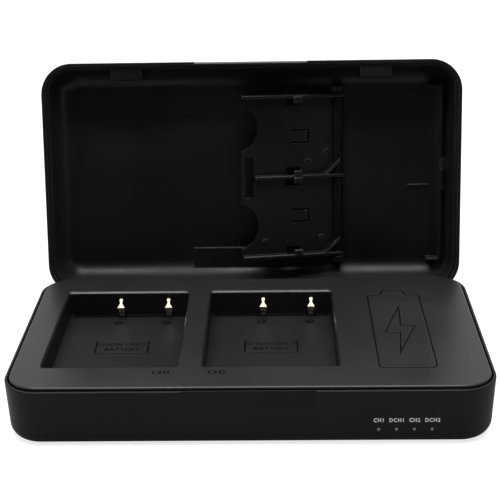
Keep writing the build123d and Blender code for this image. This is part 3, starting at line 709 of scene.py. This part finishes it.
# The groove faces take this near-black colour: painted shade.
cutter.data.materials.append(GROOVE_SHADE_BLACK)
print("marks to cut:", len(marks))

# %% [markdown]
# The CAD mesh comes as loose triangles. Its copy is merged into one skin, the marks are taken out of it,
# and its shading is evened: rounded edges smooth, broad faces flat.

# %% Cut the marks into a copy of the deck
CREASE = radians(30)


def merged_copy(name, copy_name):
    """Object with a CAD node's shape, its loose triangles merged into one skin."""
    bm = bmesh.new()
    bm.from_mesh(nodes[name].data)
    bmesh.ops.remove_doubles(bm, verts=bm.verts, dist=1e-6)
    copy = piece_from(bm, copy_name)
    copy.data.attributes.remove(copy.data.attributes["custom_normal"])
    return copy


def settle(piece):
    """Make a piece's modifiers part of its mesh."""
    mesh = bpy.data.meshes.new_from_object(piece.evaluated_get(bpy.context.evaluated_depsgraph_get()))
    piece.modifiers.clear()
    piece.data = mesh


def soften(piece):
    """Shade the rounded edges smoothly and the broad faces flat: the larger a face, the more it counts."""
    piece.data.shade_smooth()
    piece.data.set_sharp_from_angle(angle=CREASE)
    even = piece.modifiers.new("even", "WEIGHTED_NORMAL")
    even.keep_sharp = True
    even.weight = 100
    settle(piece)


def cut_out(piece, tool):
    """Take the tool's solids out of a piece for good; the groove keeps the tool's finish."""
    cut = piece.modifiers.new("cut", "BOOLEAN")
    cut.operation = "DIFFERENCE"
    cut.solver = "EXACT"
    cut.material_mode = "TRANSFER"
    cut.object = tool
    settle(piece)
    bpy.data.objects.remove(tool)
    soften(piece)


deck = merged_copy("top_deck", "deck_with_marks")
deck.data.materials.append(DECK_BLACK)
cut_out(deck, cutter)
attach(deck, "base")
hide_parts("top_deck")
print("deck with marks:", len(deck.data.polygons), "faces")

# %% [markdown]
# Inside the bays the deck's skin is duller and painted darker than on top: painted shade in the
# recess. The window for each plate is painted as dark as a groove: painted shade. A face belongs to a bay
# when it lies below the lip.

# %% Painted shade inside the bays
BAY_LIP = 1.2 * MM
PLATE_SINK = 0.3 * MM
deck.data.materials.append(BAY_SHADE_BLACK)
slots = {m.name: index for index, m in enumerate(deck.data.materials)}
# Faces in a plate's window are painted groove-dark, the rest of each bay darker than the deck: painted shade.
for face in deck.data.polygons:
    if face.material_index == slots["deck_black"] and face.center.z < deck_top - BAY_LIP:
        sunk_in = face.center.z < bay_floor - PLATE_SINK / 2
        face.material_index = slots["groove_shade_black" if sunk_in else "bay_shade_black"]
print("skins of the deck:", [m.name for m in deck.data.materials])

# %% [markdown]
# A plate in each bay's floor says what goes in. It stands in a shallow window of the deck, a little
# narrower than the window, so a slit is left at both sides and a hairline in front; the slit's floor is
# painted near black as painted shade. Its words are cut into it like the other marks and painted dark
# the same way. The plate's rim is rounded and draws a thin bright line.

# %% Word plates in the bays
PLATE_LINES = ("LI-ION ONLY", "BATTERY")
PLATE_SIZE = (14.9 * MM, 7.95 * MM, 0.3 * MM)
PLATE_RIM = 0.08 * MM
PLATE_MIDDLE = 2.77 * MM
PLATE_WORDS_FORWARD = 0.1 * MM
PLATE_WORD = 1.7 * MM
PLATE_PITCH = 3.1 * MM
BAY_XS = (-38.15 * MM, 5.75 * MM)


def round_edges(bm, edges, radius):
    """Round some edges of a bmesh."""
    bmesh.ops.bevel(bm, geom=edges, offset=radius, offset_type="OFFSET", segments=2, profile=0.5,
                    affect="EDGES", material=-1, clamp_overlap=True)


def block(size):
    """Bmesh of a block about the origin."""
    bm = bmesh.new()
    bmesh.ops.create_cube(bm, size=1.0)
    bmesh.ops.scale(bm, verts=bm.verts, vec=size)
    return bm


def stood_up(bm, height, rim):
    """Stand a bmesh that lies about the origin on Z = 0 and round its upper edges."""
    bmesh.ops.translate(bm, verts=bm.verts, vec=(0, 0, height / 2))
    round_edges(bm, [e for e in bm.edges if all(v.co.z > height / 2 for v in e.verts)], rim)
    return bm


for bay, x in enumerate(BAY_XS, start=1):
    foot = Matrix.Translation((x, PLATE_MIDDLE, bay_floor - PLATE_SINK))
    word_plate = piece_from(joined([(stood_up(block(PLATE_SIZE), PLATE_SIZE[2], PLATE_RIM), foot)]),
                            f"bay_plate_{bay}")
    # The word plate is painted with the bays' darker colour: painted shade.
    dress(word_plate, "base", BAY_SHADE_BLACK)
    lines = []
    for row, text in enumerate(PLATE_LINES):
        y = PLATE_MIDDLE - PLATE_WORDS_FORWARD + (0.5 - row) * PLATE_PITCH
        lines.append((words_mesh(text, PLATE_WORD, GROOVE_DEPTH + GROOVE_OVER), sunk(x, y, bay_floor)))
    word_cutter = piece_from(joined(lines), "plate_words")
    # The cut words are painted near black: painted shade.
    word_cutter.data.materials.append(GROOVE_SHADE_BLACK)
    cut_out(word_plate, word_cutter)
print("bay plates say:", PLATE_LINES)

# %% [markdown]
# The page is one moulding with three skins. Its plate is grained. The rails, clips and ribs that stand
# up from the plate are rubbed by every card that slides past, so their edges are smooth, and they are
# painted very pale there as a painted highlight. The barrel along its right-hand edge is left matt, as a
# bearing is. A merged copy of the page takes the three finishes: a face counts as barrel when it lies
# close to the hinge's axis, and as rail when it stands in front of the plate.

# %% Plate, rails and barrel of the page
BARREL_REACH = 2.3 * MM
RAIL_STAND = 0.2 * MM
FACES_FRONT = -0.8
RAIL_SKIN = 1
BARREL_SKIN = 2
towards_front = [p for p in nodes["card_page"].data.polygons if p.normal.y < FACES_FRONT]
page_face = max(towards_front, key=lambda face: face.area)
page_normal = page_face.normal.copy()
page_spot = page_face.center.copy()
page = merged_copy("card_page", "page_with_skins")
soften(page)
dress(page, "page", PAGE_BLACK)
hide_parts("card_page")
page.data.materials.append(RAIL_BLACK)
page.data.materials.append(BARREL_BLACK)
for face in page.data.polygons:
    away = face.center - Vector(page_joint["pos_m"])
    if (away - page_axis * away.dot(page_axis)).length < BARREL_REACH:
        face.material_index = BARREL_SKIN
    elif (face.center - page_spot).dot(page_normal) > RAIL_STAND:
        face.material_index = RAIL_SKIN
print("page faces by skin:", [sum(f.material_index == n for f in page.data.polygons) for n in range(3)])

# %% [markdown]
# Where the page left its mould, pins pushed it out, and each left a round witness mark. They are the
# small discs beside the rails. Each is a short stud with a rounded rim, laid on the page's broad face,
# whose direction is read from the CAD node's own largest triangle on that side.

# %% Pin marks on the page
PIN_MARKS = ((10.0, 4.5), (3.6, 7.5), (5.5, -20.7), (24.5, -21.2))
PIN_RADIUS = 1.0 * MM
PIN_RISE = 0.10 * MM
PIN_RIM = 0.04 * MM
page_out = page_normal.cross(page_axis)


def stud(radius, rise, rim):
    """Bmesh of a low round stud that stands on Z = 0, its upper rim rounded."""
    bm = bmesh.new()
    bmesh.ops.create_cone(bm, cap_ends=True, segments=32, radius1=radius, radius2=radius, depth=rise)
    return stood_up(bm, rise, rim)


def page_place(out, along):
    """Matrix that stands a stud on the page's face, at a place measured from the middle of its hinge."""
    foot = Vector(page_joint["pos_m"]) + page_out * out * MM + page_axis * along * MM
    foot += page_normal * (page_spot - foot).dot(page_normal)
    turn = Matrix((page_out, page_normal.cross(page_out), page_normal)).transposed().to_4x4()
    return Matrix.Translation(foot) @ turn


studs = [(stud(PIN_RADIUS, PIN_RISE, PIN_RIM), page_place(*spot)) for spot in PIN_MARKS]
pin_marks = piece_from(joined(studs), "page_pin_marks")
# The pin marks take the rails' finish, so their rims are painted pale as a painted highlight.
dress(pin_marks, "page", RAIL_BLACK)
print("page faces", tuple(round(v, 3) for v in page_normal), "pin marks:", len(PIN_MARKS))

# %% [markdown]
# The light guide ends in four round prongs behind the front wall. The middle of each prong's end is
# frosted to spread the light, so it looks paler than the clear rim round it.

# %% Frosted tips of the light guide
TIP_RADIUS = 0.36 * MM
TIP_RISE = 0.04 * MM
TIP_RIM = 0.02 * MM
guide_low, guide_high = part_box("light_guide")
guide_z = (guide_low[2] + guide_high[2]) / 2
tips = piece_from(joined([
    (stud(TIP_RADIUS, TIP_RISE, TIP_RIM),
     Matrix.Translation((x, guide_low[1], guide_z)) @ Matrix.Rotation(radians(90), 4, "X"))
    for x in lamp_xs]), "guide_tips")
dress(tips, "base", TIP_FROST)
print("frosted tips:", len(lamp_xs))

# %% [markdown]
# Each socket has a plastic tongue with plated strips along it. A strip is a thin bar with its ends
# and sides bevelled, as stamped strip has, repeated at the socket's pitch.

# %% Strips on the socket tongues
OUTPUT_STRIPS = {"count": 4, "pitch": 2.3, "width": 1.1, "length": 8.0, "tongue_top": 8.42}
INPUT_STRIPS = {"count": 5, "pitch": 0.9, "width": 0.45, "length": 3.0, "tongue_top": 6.32}
STRIP_SINK = 0.02 * MM
STRIP_RISE = 0.10 * MM
STRIP_EDGE = 0.03 * MM
STRIP_BACK = 0.5 * MM


def socket_strips(core, name, strips):
    """Plated strips side by side on a socket's tongue, set back a little from its tip."""
    low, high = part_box(core)
    shapes = []
    for place in range(strips["count"]):
        bm = block((strips["length"] * MM, strips["width"] * MM, STRIP_RISE))
        round_edges(bm, bm.edges[:], STRIP_EDGE)
        x = high[0] - STRIP_BACK - strips["length"] * MM / 2
        y = (low[1] + high[1]) / 2 + (place - (strips["count"] - 1) / 2) * strips["pitch"] * MM
        z = strips["tongue_top"] * MM + STRIP_RISE / 2 - STRIP_SINK
        shapes.append((bm, Matrix.Translation((x, y, z))))
    return dress(piece_from(joined(shapes), name), "base", CONTACT_GOLD)


socket_strips("output_socket_core", "output_strips", OUTPUT_STRIPS)
socket_strips("input_socket_core", "input_strips", INPUT_STRIPS)
print("strips:", OUTPUT_STRIPS["count"], "and", INPUT_STRIPS["count"])
